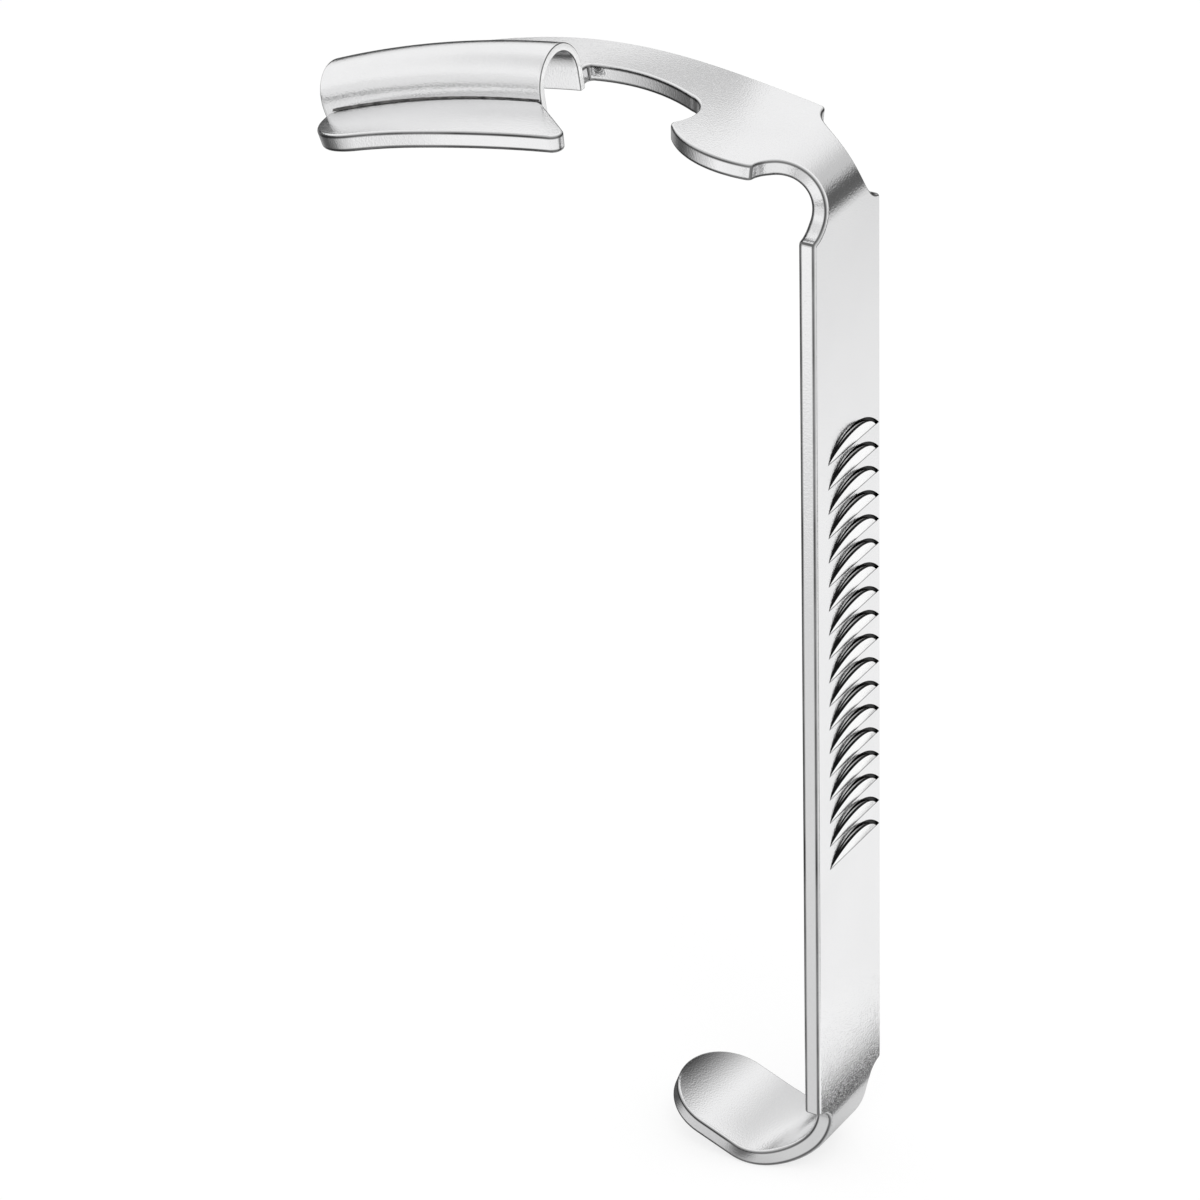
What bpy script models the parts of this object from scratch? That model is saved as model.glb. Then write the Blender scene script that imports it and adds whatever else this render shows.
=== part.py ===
"""Tongue depressor of the mouth gag type: one bent plate with a hook, a ratchet handle and a
blade, a half round tube guide let into the blade, and a side wing brazed to that guide.

Outlines are drawn flat, as (run, y) in millimetres. Run follows the outer face of the plate:
zero where the hook bend begins, rising up the handle, over the top bend and out to the blade
tip, and negative round the hook. The flat plate is then bent along its run."""
import bisect
import math

import bmesh
import bpy

MM = 0.001

# plate
PLATE_T = 2.5
EDGE_BREAK = 0.45
HANDLE_W = 17.0
HANDLE_L = 133.0
BRAZE_GAP = 0.2

# hook at the foot of the handle
HOOK_R = 10.7
HOOK_TURN = math.radians(111.5)
PADDLE_L = 12.7
PADDLE_W = 16.1
PADDLE_END = 7.3
FOOT_NECK_W = 9.9
FOOT_NOTCH_R = 3.6
FOOT_NOTCH_RISE = 1.1
FOOT_NECK_L = 3.8
FOOT_FLARE_L = 13.9

# bend and neck at the head of the handle
HEAD_R = 8.3
HEAD_TURN = math.radians(83.0)
NECK_W = 8.5
NOTCH_L = 14.4
NOTCH_PAST_BEND = 1.1
NOTCH_SKEW = 0.7

# blade
BLADE_L = 67.4
BLADE_BOW_R = 131.5
BLADE_W = 32.0
BLADE_HEEL_W = 18.8
BLADE_FLARE_L = 48.0
BLADE_FLARE_LEAD = 6.0
NOSE_R = 10.3

# tube guide let into the blade
BORE_R = 4.1
GUIDE_WALL = 1.1
GUIDE_L = 34.4
GUIDE_PROUD = 1.3
GUIDE_LIFT_REAR = 0.3
GUIDE_LIFT_FRONT = 0.05
GUIDE_CHAMFER = 0.25
SEAM_LEG = 0.6
SEAM_BLUNT = 0.1
SEAM_END = 0.8

# window and lobe behind the guide
WINDOW_REAR = 13.95
WINDOW_R = 4.65
WINDOW_Y = -1.35
RAIL_SET_BACK = 1.9
SHOULDER_AHEAD = 0.6
LOBE_R = 12.6
LOBE_FORWARD = 4.2
LOBE_NOSE_R = 0.95

# wing on the open side
WING_LEAD = 8.0
WING_REAR_R = 1.4
WING_REAR_BULGE = 0.9

# ratchet teeth on the handle
TEETH = 18
TOOTH_PITCH = 3.56
TOOTH_CHORD = 12.8
TOOTH_SAGITTA = 2.65
TOOTH_H = 0.75
TOOTH_LAST_Z = 49.25
TOOTH_OFFSET_Y = 0.85
DENT_INSET = 0.35
TOOTH_ROOT = 0.5

# worked out from the sizes above
HALF_W = HANDLE_W / 2
HEAD_LEN = HEAD_R * HEAD_TURN
HOOK_LEN = HOOK_R * HOOK_TURN
HEEL = HANDLE_L + HEAD_LEN
TIP = HEEL + BLADE_L
GUIDE_R = BORE_R + GUIDE_WALL
GROOVE = GUIDE_R + BRAZE_GAP
GUIDE_TIP = TIP + GUIDE_PROUD
MOUTH = GUIDE_TIP - GUIDE_L
CORNER = HEEL + NOTCH_PAST_BEND
RAIL_Y = GROOVE + RAIL_SET_BACK
PADDLE_TIP = -(HOOK_LEN + PADDLE_L)


def clear_scene():
    for thing in list(bpy.data.objects):
        bpy.data.objects.remove(thing, do_unlink=True)


def on_profile(run):
    """Outer point (x, z) and outward normal (x, z) of the bent plate at this run."""
    if run < -HOOK_LEN:
        a = HOOK_TURN
        past = -run - HOOK_LEN
        x = -HOOK_R + HOOK_R * math.cos(a) - past * math.sin(a)
        z = HOOK_R - HOOK_R * math.sin(a) - past * math.cos(a)
        return x, z, math.cos(a), -math.sin(a)
    if run < 0.0:
        a = -run / HOOK_R
        x = -HOOK_R + HOOK_R * math.cos(a)
        z = HOOK_R - HOOK_R * math.sin(a)
        return x, z, math.cos(a), -math.sin(a)
    if run <= HANDLE_L:
        return 0.0, HOOK_R + run, 1.0, 0.0
    top = HOOK_R + HANDLE_L
    if run <= HEEL:
        a = (run - HANDLE_L) / HEAD_R
        x = -HEAD_R + HEAD_R * math.cos(a)
        z = top + HEAD_R * math.sin(a)
        return x, z, math.cos(a), math.sin(a)
    a = HEAD_TURN + (run - HEEL) / BLADE_BOW_R
    cx = -HEAD_R + (HEAD_R - BLADE_BOW_R) * math.cos(HEAD_TURN)
    cz = top + (HEAD_R - BLADE_BOW_R) * math.sin(HEAD_TURN)
    x = cx + BLADE_BOW_R * math.cos(a)
    z = cz + BLADE_BOW_R * math.sin(a)
    return x, z, math.cos(a), math.sin(a)


def spread(lo, hi, parts):
    return [lo + (hi - lo) * i / parts for i in range(parts + 1)]


def bend_stations():
    """Runs where the plate is creased or a row of teeth ends, so that each face is flat."""
    quarter = -HOOK_R * min(HOOK_TURN, math.pi / 2)
    runs = [PADDLE_TIP - PLATE_T]
    runs += spread(-HOOK_LEN, quarter, 3) + spread(quarter, 0.0, 14)
    runs += spread(HANDLE_L, HEEL, 14) + spread(HEEL, TIP, 16)
    row = TOOTH_LAST_Z - HOOK_R - (TOOTH_PITCH - TOOTH_SAGITTA) * 0.8
    runs += [row + k * TOOTH_PITCH for k in range(TEETH + 1)]
    runs.append(GUIDE_TIP + PLATE_T)
    out = []
    for run in sorted(runs):
        if not out or run - out[-1] > 0.05:
            out.append(run)
    return out


STATIONS = bend_stations()
PLACED = [on_profile(run) for run in STATIONS]


def bent(run, y, depth):
    """Point in metres for a flat point, depth measured below the outer face."""
    i = min(max(bisect.bisect_right(STATIONS, run) - 1, 0), len(STATIONS) - 2)
    t = (run - STATIONS[i]) / (STATIONS[i + 1] - STATIONS[i])
    x, z, nx, nz = [a + (b - a) * t for a, b in zip(PLACED[i], PLACED[i + 1])]
    return (x - depth * nx) * MM, y * MM, (z - depth * nz) * MM


def arc(cx, cy, rx, ry, a0, a1, parts):
    """Points of an arc or ellipse stretch; angles in degrees from the run direction."""
    out = []
    for a in spread(math.radians(a0), math.radians(a1), parts):
        out.append((cx + rx * math.cos(a), cy + ry * math.sin(a)))
    return out


def blade_half(run):
    """Half width of the blade's plain outline at this run."""
    t = (run - HEEL + BLADE_FLARE_LEAD) / (BLADE_FLARE_L + BLADE_FLARE_LEAD)
    ease = (1.0 - math.cos(math.pi * min(max(t, 0.0), 1.0))) / 2
    return (BLADE_HEEL_W + (BLADE_W - BLADE_HEEL_W) * ease) / 2


def hook_side():
    """One side of the hook, from the paddle's end up to the handle's lower corner, y positive."""
    half = PADDLE_W / 2
    neck = FOOT_NECK_W / 2
    notch_run = FOOT_NOTCH_RISE - FOOT_NOTCH_R
    pts = arc(PADDLE_TIP + PADDLE_END, 0.0, PADDLE_END, half, 180.0, 90.0, 12)
    flare_end = notch_run - FOOT_NECK_L
    for t in spread(0.0, 1.0, 10):
        ease = (1.0 - math.cos(math.pi * t)) / 2
        run = flare_end - FOOT_FLARE_L * (1.0 - t)
        pts.append((run, half + (neck - half) * ease))
    pts += arc(notch_run, HALF_W, FOOT_NOTCH_R, HALF_W - neck, -90.0, 0.0, 7)
    return pts


def head_notch():
    """One side of the neck notch, from the handle's upper corner to the blade's, y positive."""
    neck = NECK_W / 2
    low_l = NOTCH_L / 2 - NOTCH_SKEW
    high_l = NOTCH_L / 2 + NOTCH_SKEW
    heel_half = BLADE_HEEL_W / 2
    mid = CORNER - high_l
    low = arc(mid, HALF_W, low_l, HALF_W - neck, 180.0, 270.0, 9)
    high = arc(mid, heel_half, high_l, heel_half - neck, 270.0, 360.0, 9)
    return low + high[1:]


def far_edge():
    """Blade edge on the closed side, from the heel corner round the nose to the groove."""
    pts = [(run, blade_half(run)) for run in spread(CORNER, TIP - NOSE_R, 14)][1:]
    pts += arc(TIP - NOSE_R, BLADE_W / 2 - NOSE_R, NOSE_R, NOSE_R, 90.0, 0.0, 9)[1:]
    pts.append((TIP, GROOVE))
    return pts


def window_edge():
    """Groove side, shoulder, rail and the window's round rear end, from tip towards heel."""
    step = MOUTH + SHOULDER_AHEAD
    pts = [(step, GROOVE), (step, RAIL_Y)]
    cx = HEEL + WINDOW_REAR + WINDOW_R
    join = math.radians(108.0)
    jx = cx + WINDOW_R * math.cos(join)
    jy = WINDOW_Y + WINDOW_R * math.sin(join)
    for t in spread(1.0, 0.0, 8):
        run = jx + (step - jx) * t
        pts.append((run, RAIL_Y - (RAIL_Y - jy) * (1.0 - t) ** 2.2))
    pts = pts[:2] + pts[3:-1]
    pts += arc(cx, WINDOW_Y, WINDOW_R, WINDOW_R, 108.0, 196.0, 10)
    return pts


def lobe_edge():
    """Rounded nose of the lobe and its outer edge back to the heel corner, y negative."""
    cx = HEEL + WINDOW_REAR + WINDOW_R
    heel_half = BLADE_HEEL_W / 2
    lobe_cx = CORNER + LOBE_FORWARD
    lobe_cy = -heel_half + math.sqrt(LOBE_R ** 2 - LOBE_FORWARD ** 2)
    # nose centre lies inside the lobe's arc and outside the window's arc by its own radius
    ra = LOBE_R - LOBE_NOSE_R
    rb = WINDOW_R + LOBE_NOSE_R
    dx = cx - lobe_cx
    dy = WINDOW_Y - lobe_cy
    d = math.hypot(dx, dy)
    along = (d * d + ra * ra - rb * rb) / (2 * d)
    across = math.sqrt(max(ra * ra - along * along, 0.0))
    nx = lobe_cx + along * dx / d + across * dy / d
    ny = lobe_cy + along * dy / d - across * dx / d
    a_in = math.degrees(math.atan2(WINDOW_Y - ny, cx - nx))
    a_out = math.degrees(math.atan2(ny - lobe_cy, nx - lobe_cx))
    w_end = math.degrees(math.atan2(ny - WINDOW_Y, nx - cx)) % 360.0
    pts = arc(cx, WINDOW_Y, WINDOW_R, WINDOW_R, 196.0, w_end, 3)[1:]
    pts += arc(nx, ny, LOBE_NOSE_R, LOBE_NOSE_R, a_in, a_out, 7)[1:]
    a_heel = math.degrees(math.atan2(-heel_half - lobe_cy, CORNER - lobe_cx))
    pts += arc(lobe_cx, lobe_cy, LOBE_R, LOBE_R, a_out, a_heel, 12)[1:]
    return pts


def strip_outline():
    hook = hook_side()
    notch = head_notch()
    pts = hook + notch + far_edge() + window_edge() + lobe_edge()
    pts += [(run, -y) for run, y in reversed(notch)][1:]
    pts += [(run, -y) for run, y in reversed(hook)][:-1]
    return pts


def wing_outline():
    """Side wing: groove side, slanted rear end with a round corner, outer edge and nose."""
    rear = MOUTH - WING_LEAD
    cx = rear + WING_REAR_R
    outer = []
    for t in spread(0.0, 1.0, 9):
        run = cx + (TIP - NOSE_R - cx) * t
        outer.append((run, -blade_half(run) - WING_REAR_BULGE * (1.0 - t) ** 2))
    cy = outer[0][1] + WING_REAR_R
    reach = math.hypot(MOUTH - cx, -GROOVE - cy)
    facing = math.atan2(-GROOVE - cy, MOUTH - cx)
    tangent = math.degrees(facing + math.acos(WING_REAR_R / reach))
    pts = [(TIP, -GROOVE), (MOUTH, -GROOVE)]
    pts += arc(cx, cy, WING_REAR_R, WING_REAR_R, tangent, 270.0, 10)
    pts += outer[1:]
    pts += arc(TIP - NOSE_R, NOSE_R - BLADE_W / 2, NOSE_R, NOSE_R, 270.0, 360.0, 9)[1:]
    return pts


def distinct(points):
    """Leaves out each point that falls on the one before it."""
    out = []
    for p in points:
        if not out or math.dist(p, out[-1]) > 0.02:
            out.append(p)
    if math.dist(out[0], out[-1]) < 0.02:
        out.pop()
    return out


def plate(name, points):
    """Cuts the outline from flat plate, breaks its edges, then bends it along its run."""
    outline = distinct(points)
    bm = bmesh.new()
    low = [bm.verts.new((run, y, PLATE_T)) for run, y in outline]
    high = [bm.verts.new((run, y, 0.0)) for run, y in outline]
    bm.faces.new(low)
    bm.faces.new(high)
    rims = []
    for i in range(len(outline)):
        j = (i + 1) % len(outline)
        bm.faces.new((low[i], low[j], high[j], high[i]))
    bm.edges.ensure_lookup_table()
    for edge in bm.edges:
        a, b = edge.verts
        if abs(a.co.z - b.co.z) < 1e-6:
            rims.append(edge)
    bmesh.ops.bevel(bm, geom=rims, offset=EDGE_BREAK, segments=2, profile=0.5,
                    affect='EDGES', clamp_overlap=True)
    for run in STATIONS:
        geom = bm.verts[:] + bm.edges[:] + bm.faces[:]
        bmesh.ops.bisect_plane(bm, geom=geom, dist=1e-4, plane_co=(run, 0, 0), plane_no=(1, 0, 0))
    bmesh.ops.remove_doubles(bm, verts=bm.verts[:], dist=0.004)
    for v in bm.verts:
        v.co = bent(v.co.x, v.co.y, v.co.z)
    return finish_mesh(name, bm)


def finish_mesh(name, bm):
    bmesh.ops.recalc_face_normals(bm, faces=bm.faces[:])
    if bm.calc_volume(signed=True) < 0.0:
        bmesh.ops.reverse_faces(bm, faces=bm.faces[:])
    mesh = bpy.data.meshes.new(name)
    bm.to_mesh(mesh)
    bm.free()
    thing = bpy.data.objects.new(name, mesh)
    bpy.context.collection.objects.link(thing)
    return thing


def swept(name, rings):
    """Closed solid through equal closed rings of points, capped at both ends."""
    bm = bmesh.new()
    rows = [[bm.verts.new(bent(*p)) for p in ring] for ring in rings]
    count = len(rows[0])
    for a, b in zip(rows, rows[1:]):
        for i in range(count):
            j = (i + 1) % count
            bm.faces.new((a[i], a[j], b[j], b[i]))
    bm.faces.new(rows[0])
    bm.faces.new(rows[-1])
    return finish_mesh(name, bm)


def guide_runs(lo, hi):
    inner = [run for run in STATIONS if lo + 0.1 < run < hi - 0.1]
    return [lo] + inner + [hi]


def guide_lift(run):
    t = (run - MOUTH) / GUIDE_L
    return GUIDE_LIFT_REAR + (GUIDE_LIFT_FRONT - GUIDE_LIFT_REAR) * t


def guide_ring(run, shrink):
    """Arch section of the tube guide, thinned all round by shrink."""
    lift = guide_lift(run)
    outer = arc(0.0, lift, GUIDE_R - shrink, GUIDE_R - shrink, 0.0, 180.0, 24)
    inner = arc(0.0, lift, BORE_R + shrink, BORE_R + shrink, 180.0, 0.0, 24)
    foot = -PLATE_T + shrink
    pts = [(GUIDE_R - shrink, foot)] + outer + [(shrink - GUIDE_R, foot)]
    pts += [(-BORE_R - shrink, foot)] + inner + [(BORE_R + shrink, foot)]
    return [(run, y, -height) for y, height in pts]


def tube_guide():
    runs = guide_runs(MOUTH + GUIDE_CHAMFER, GUIDE_TIP - GUIDE_CHAMFER)
    rings = [guide_ring(MOUTH, GUIDE_CHAMFER)]
    rings += [guide_ring(run, 0.0) for run in runs]
    rings.append(guide_ring(GUIDE_TIP, GUIDE_CHAMFER))
    return swept("tube_guide", rings)


def seam(name, side):
    """Concave fillet of brazing metal in the corner of guide wall and plate face."""
    rings = []
    for run in guide_runs(MOUTH + SEAM_END, TIP - SEAM_END):
        y0 = GUIDE_R + BRAZE_GAP
        h0 = BRAZE_GAP
        hollow = arc(y0 + SEAM_LEG, h0 + SEAM_LEG, SEAM_LEG - SEAM_BLUNT, SEAM_LEG - SEAM_BLUNT,
                     180.0, 270.0, 6)
        pts = [(y0, h0), (y0, h0 + SEAM_LEG)] + hollow + [(y0 + SEAM_LEG, h0)]
        rings.append([(run, side * y, -height) for y, height in pts])
    return swept(name, rings)


def tooth_tools(name, radius_cut, base, rise, root):
    """Row of half moon wedges: flush along the chord, full rise at the top of the arc."""
    half = TOOTH_CHORD / 2
    radius = (half ** 2 + TOOTH_SAGITTA ** 2) / (2 * TOOTH_SAGITTA)
    below = (TOOTH_PITCH - TOOTH_SAGITTA) * 0.6
    drop = radius - TOOTH_SAGITTA
    swing = math.degrees(math.acos(min((drop - below) / radius, 0.999)))
    bm = bmesh.new()
    for k in range(TEETH):
        chord = TOOTH_LAST_Z + k * TOOTH_PITCH
        edge = arc(TOOTH_OFFSET_Y, chord - drop, radius - radius_cut, radius - radius_cut,
                   90.0 - swing, 90.0 + swing, 22)
        slope = rise / TOOTH_SAGITTA
        top = [bm.verts.new(((base + (z - chord) * slope) * MM, y * MM, z * MM)) for y, z in edge]
        low = [bm.verts.new(((base + root) * MM, y * MM, z * MM)) for y, z in edge]
        count = len(edge)
        bm.faces.new(top)
        bm.faces.new(low)
        for i in range(count):
            j = (i + 1) % count
            bm.faces.new((top[i], top[j], low[j], low[i]))
    tool = finish_mesh(name, bm)
    tool.hide_render = True
    tool.display_type = 'WIRE'
    return tool


def boolean(thing, tool, operation):
    mod = thing.modifiers.new(tool.name, 'BOOLEAN')
    mod.operation = operation
    mod.solver = 'EXACT'
    mod.object = tool


def steel(name, colour, roughness, metallic):
    mat = bpy.data.materials.new(name)
    mat.use_nodes = True
    shader = mat.node_tree.nodes["Principled BSDF"]
    shader.inputs["Base Color"].default_value = (*colour, 1.0)
    shader.inputs["Roughness"].default_value = roughness
    shader.inputs["Metallic"].default_value = metallic
    return mat


def centre(things):
    """Moves every mesh so that the whole stands on z = 0 with its box centred on x and y."""
    solid = [t for t in things if not t.hide_render]
    xs = [v.co.x for t in solid for v in t.data.vertices]
    ys = [v.co.y for t in solid for v in t.data.vertices]
    zs = [v.co.z for t in solid for v in t.data.vertices]
    teeth_x = TOOTH_H * MM
    shift_x = (min(xs) + max(max(xs), teeth_x)) / 2
    shift_y = (min(ys) + max(ys)) / 2
    for t in things:
        for v in t.data.vertices:
            v.co.x -= shift_x
            v.co.y -= shift_y
            v.co.z -= min(zs)


clear_scene()
strip = plate("blade_and_handle", strip_outline())
wing = plate("side_wing", wing_outline())
guide = tube_guide()
seam_near = seam("braze_seam_near", -1.0)
seam_far = seam("braze_seam_far", 1.0)
raised = tooth_tools("tooth_tool", 0.0, 0.0, TOOTH_H, -TOOTH_ROOT)
dents = tooth_tools("dent_tool", DENT_INSET, -PLATE_T, TOOTH_H, -TOOTH_ROOT)
boolean(strip, raised, 'UNION')
boolean(strip, dents, 'DIFFERENCE')
centre([strip, wing, guide, seam_near, seam_far, raised, dents])

strip.data.materials.append(steel("plate_steel", (0.78, 0.79, 0.80), 0.28, 1.0))
wing.data.materials.append(steel("wing_steel", (0.77, 0.78, 0.79), 0.29, 1.0))
guide.data.materials.append(steel("guide_steel", (0.76, 0.77, 0.79), 0.24, 1.0))
seam_near.data.materials.append(steel("near_braze", (0.80, 0.79, 0.75), 0.32, 1.0))
seam_far.data.materials.append(steel("far_braze", (0.80, 0.79, 0.75), 0.32, 1.0))
for mesh_thing in (guide, seam_near, seam_far):
    mesh_thing.data.shade_smooth()
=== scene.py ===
"""Tongue depressor of the mouth gag kind: a bent steel plate with a hook at its foot, a ratchet
handle and a blade, with a half round tube guide and a side wing brazed into the blade's front."""

import bisect
import math

import bmesh
import bpy
from mathutils import Matrix, Vector


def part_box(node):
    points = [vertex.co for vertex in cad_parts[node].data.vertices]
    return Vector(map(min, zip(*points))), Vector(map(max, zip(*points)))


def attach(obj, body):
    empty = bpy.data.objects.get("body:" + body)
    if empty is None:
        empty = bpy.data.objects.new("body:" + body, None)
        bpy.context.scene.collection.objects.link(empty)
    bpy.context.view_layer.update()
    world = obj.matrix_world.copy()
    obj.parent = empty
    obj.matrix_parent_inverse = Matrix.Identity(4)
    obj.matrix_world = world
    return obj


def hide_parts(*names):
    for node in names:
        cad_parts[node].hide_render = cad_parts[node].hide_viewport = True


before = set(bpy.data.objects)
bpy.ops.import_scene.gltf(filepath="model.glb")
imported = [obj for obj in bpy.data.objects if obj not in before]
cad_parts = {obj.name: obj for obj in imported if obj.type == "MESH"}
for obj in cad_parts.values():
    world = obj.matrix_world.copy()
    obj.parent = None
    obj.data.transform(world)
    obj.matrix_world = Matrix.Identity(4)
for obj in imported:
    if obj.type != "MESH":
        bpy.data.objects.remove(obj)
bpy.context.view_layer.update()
scene = bpy.context.scene
MM = 0.001


# ---- Steel plate: hook, handle, neck, lobe and far half of the blade ------------------------
# One strip of 2.5 mm stainless plate, cut to its outline, its edges rounded on a wheel, then bent
# round a mandrel at the head and at the foot. The blade is bowed a little along its length.
PLATE_T = 2.5
EDGE_R = 0.45
# Width on the wall, and the angles on the round where it starts and spreads, of the painted shade
# line along each arris.
ARRIS_W = 0.16
ARRIS_FROM = 0.768
ARRIS_OVER = 0.32
CORNER_CUT = 0.68
CORNER_ANGLE = math.radians(25.0)
CORNER_POINTS = 8
CORNER_MIDDLE = 0.2
CORNER_CLEAR = 1.02
SAME_POINT = 0.03
WELD = 0.004
EDGE_RINGS = 5
HANDLE_W = 17.0
HANDLE_L = 133.0
BRAZE_GAP = 0.2
HOOK_R = 10.7
HOOK_TURN = math.radians(111.5)
PADDLE_L = 12.7
PADDLE_W = 16.1
PADDLE_END = 7.3
FOOT_NECK_W = 9.9
FOOT_NOTCH_R = 3.6
FOOT_NOTCH_RISE = 1.1
FOOT_NECK_L = 3.8
FOOT_FLARE_L = 13.9
HEAD_R = 8.3
HEAD_TURN = math.radians(83.0)
NECK_W = 8.5
NOTCH_L = 14.4
NOTCH_PAST_BEND = 1.1
NOTCH_SKEW = 0.7
BLADE_L = 67.4
BLADE_BOW_R = 131.5
BLADE_W = 32.0
BLADE_HEEL_W = 18.8
BLADE_FLARE_L = 48.0
BLADE_FLARE_LEAD = 6.0
NOSE_R = 10.3
GUIDE_BORE_R = 4.1
GUIDE_WALL = 1.1
GUIDE_L = 34.4
GUIDE_PROUD = 1.3
WINDOW_REAR = 13.95
WINDOW_R = 4.65
WINDOW_Y = -1.35
WINDOW_JOIN = 108.0
WINDOW_TURN = 196.0
RAIL_SET_BACK = 1.9
RAIL_CURVE = 2.2
SHOULDER_AHEAD = 0.6
LOBE_R = 12.6
LOBE_FORWARD = 4.2
LOBE_NOSE_R = 0.95
TOOTH_H = 0.75
HOOK_CREASES = 48
HANDLE_CREASES = 34
HEAD_CREASES = 40
BLADE_CREASES = 48
CREASE_GAP = 0.05
FACE_SHARP = 12.0
WALL_SHARP = 32.0
TRUE_FACING = 0.975
ON_FACE = 0.01
BY_FACE = 0.03

GUIDE_R = GUIDE_BORE_R + GUIDE_WALL
GROOVE = GUIDE_R + BRAZE_GAP
HEEL = HANDLE_L + HEAD_R * HEAD_TURN
TIP = HEEL + BLADE_L
GUIDE_TIP = TIP + GUIDE_PROUD
MOUTH = GUIDE_TIP - GUIDE_L
CORNER = HEEL + NOTCH_PAST_BEND
RAIL_Y = GROOVE + RAIL_SET_BACK
HOOK_LEN = HOOK_R * HOOK_TURN
PADDLE_TIP = -(HOOK_LEN + PADDLE_L)
FACE_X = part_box("blade_and_handle")[1].x / MM - TOOTH_H
MID_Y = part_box("tube_guide")[0].y / MM + GUIDE_R
HEAD_Z = HOOK_R + HANDLE_L
BOW_X = FACE_X - HEAD_R + (HEAD_R - BLADE_BOW_R) * math.cos(HEAD_TURN)
BOW_Z = HEAD_Z + (HEAD_R - BLADE_BOW_R) * math.sin(HEAD_TURN)


def plate_place(run):
    """Point (x, z) on the outer face and its outward normal, at a length along the plate."""
    if run < 0.0:
        a = min(-run / HOOK_R, HOOK_TURN)
        past = max(-run - HOOK_LEN, 0.0)
        x = FACE_X - HOOK_R + HOOK_R * math.cos(a) - past * math.sin(a)
        z = HOOK_R - HOOK_R * math.sin(a) - past * math.cos(a)
        return x, z, math.cos(a), -math.sin(a)
    if run <= HANDLE_L:
        return FACE_X, HOOK_R + run, 1.0, 0.0
    if run <= HEEL:
        a = (run - HANDLE_L) / HEAD_R
        x = FACE_X - HEAD_R + HEAD_R * math.cos(a)
        return x, HEAD_Z + HEAD_R * math.sin(a), math.cos(a), math.sin(a)
    a = HEAD_TURN + (run - HEEL) / BLADE_BOW_R
    x = BOW_X + BLADE_BOW_R * math.cos(a)
    return x, BOW_Z + BLADE_BOW_R * math.sin(a), math.cos(a), math.sin(a)


def along_blade(x, z):
    dx = x - BOW_X
    dz = z - BOW_Z
    turned = math.atan2(dz, dx) - HEAD_TURN
    return HEEL + turned * BLADE_BOW_R, math.hypot(dz, dx) - BLADE_BOW_R


def along_plate(x, z):
    """Length along the plate and height over its outer face, for a point in millimetres."""
    if z >= HEAD_Z:
        dx = x - FACE_X + HEAD_R
        a = math.atan2(z - HEAD_Z, dx)
        if a <= HEAD_TURN:
            return HANDLE_L + a * HEAD_R, math.hypot(z - HEAD_Z, dx) - HEAD_R
        return along_blade(x, z)
    if z >= HOOK_R:
        if x > FACE_X - 2 * PLATE_T:
            return z - HOOK_R, x - FACE_X
        return along_blade(x, z)
    dx = x - FACE_X + HOOK_R
    dz = HOOK_R - z
    a = math.atan2(dz, dx)
    if a <= HOOK_TURN:
        return -a * HOOK_R, math.hypot(dz, dx) - HOOK_R
    past = -dx * math.sin(HOOK_TURN) + dz * -math.cos(HOOK_TURN)
    return -HOOK_LEN - past, dx * math.cos(HOOK_TURN) + dz * math.sin(HOOK_TURN) - HOOK_R


def spread(low, high, parts):
    return [low + (high - low) * i / parts for i in range(parts + 1)]


def sweep(cx, cy, rx, ry, start, end, parts):
    """Points of a round or oval stretch of outline, angles in degrees."""
    turns = spread(math.radians(start), math.radians(end), parts)
    return [(cx + rx * math.cos(a), cy + ry * math.sin(a)) for a in turns]


def eased(low, high, t):
    """Soft change of a half width from one end of a flare to the other."""
    return low + (high - low) * (1.0 - math.cos(math.pi * min(max(t, 0.0), 1.0))) / 2


def blade_half(run):
    t = (run - HEEL + BLADE_FLARE_LEAD) / (BLADE_FLARE_L + BLADE_FLARE_LEAD)
    return eased(BLADE_HEEL_W / 2, BLADE_W / 2, t)


def hook_side():
    """One side from the paddle's tip, along the flare and the foot's neck, to the handle."""
    half = PADDLE_W / 2
    neck = FOOT_NECK_W / 2
    notch_run = FOOT_NOTCH_RISE - FOOT_NOTCH_R
    flare_end = notch_run - FOOT_NECK_L
    pts = sweep(PADDLE_TIP + PADDLE_END, 0.0, PADDLE_END, half, 180.0, 90.0, 30)
    for t in spread(0.0, 1.0, 24):
        pts.append((flare_end - FOOT_FLARE_L * (1.0 - t), eased(half, neck, t)))
    pts += sweep(notch_run, HANDLE_W / 2, FOOT_NOTCH_R, HANDLE_W / 2 - neck, -90.0, 0.0, 16)
    return pts


def head_notch():
    """One side of the neck at the head bend, as two quarter ovals."""
    neck = NECK_W / 2
    low_l = NOTCH_L / 2 - NOTCH_SKEW
    high_l = NOTCH_L / 2 + NOTCH_SKEW
    low_half = HANDLE_W / 2
    high_half = BLADE_HEEL_W / 2
    mid = CORNER - high_l
    low = sweep(mid, low_half, low_l, low_half - neck, 180.0, 270.0, 22)
    high = sweep(mid, high_half, high_l, high_half - neck, 270.0, 360.0, 22)
    return low + high


def far_edge():
    """Far side of the blade, round its tip to the slot for the guide."""
    pts = [(run, blade_half(run)) for run in spread(CORNER, TIP - NOSE_R, 40)]
    pts += sweep(TIP - NOSE_R, BLADE_W / 2 - NOSE_R, NOSE_R, NOSE_R, 90.0, 0.0, 26)
    return pts + [(TIP, GROOVE)]


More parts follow.
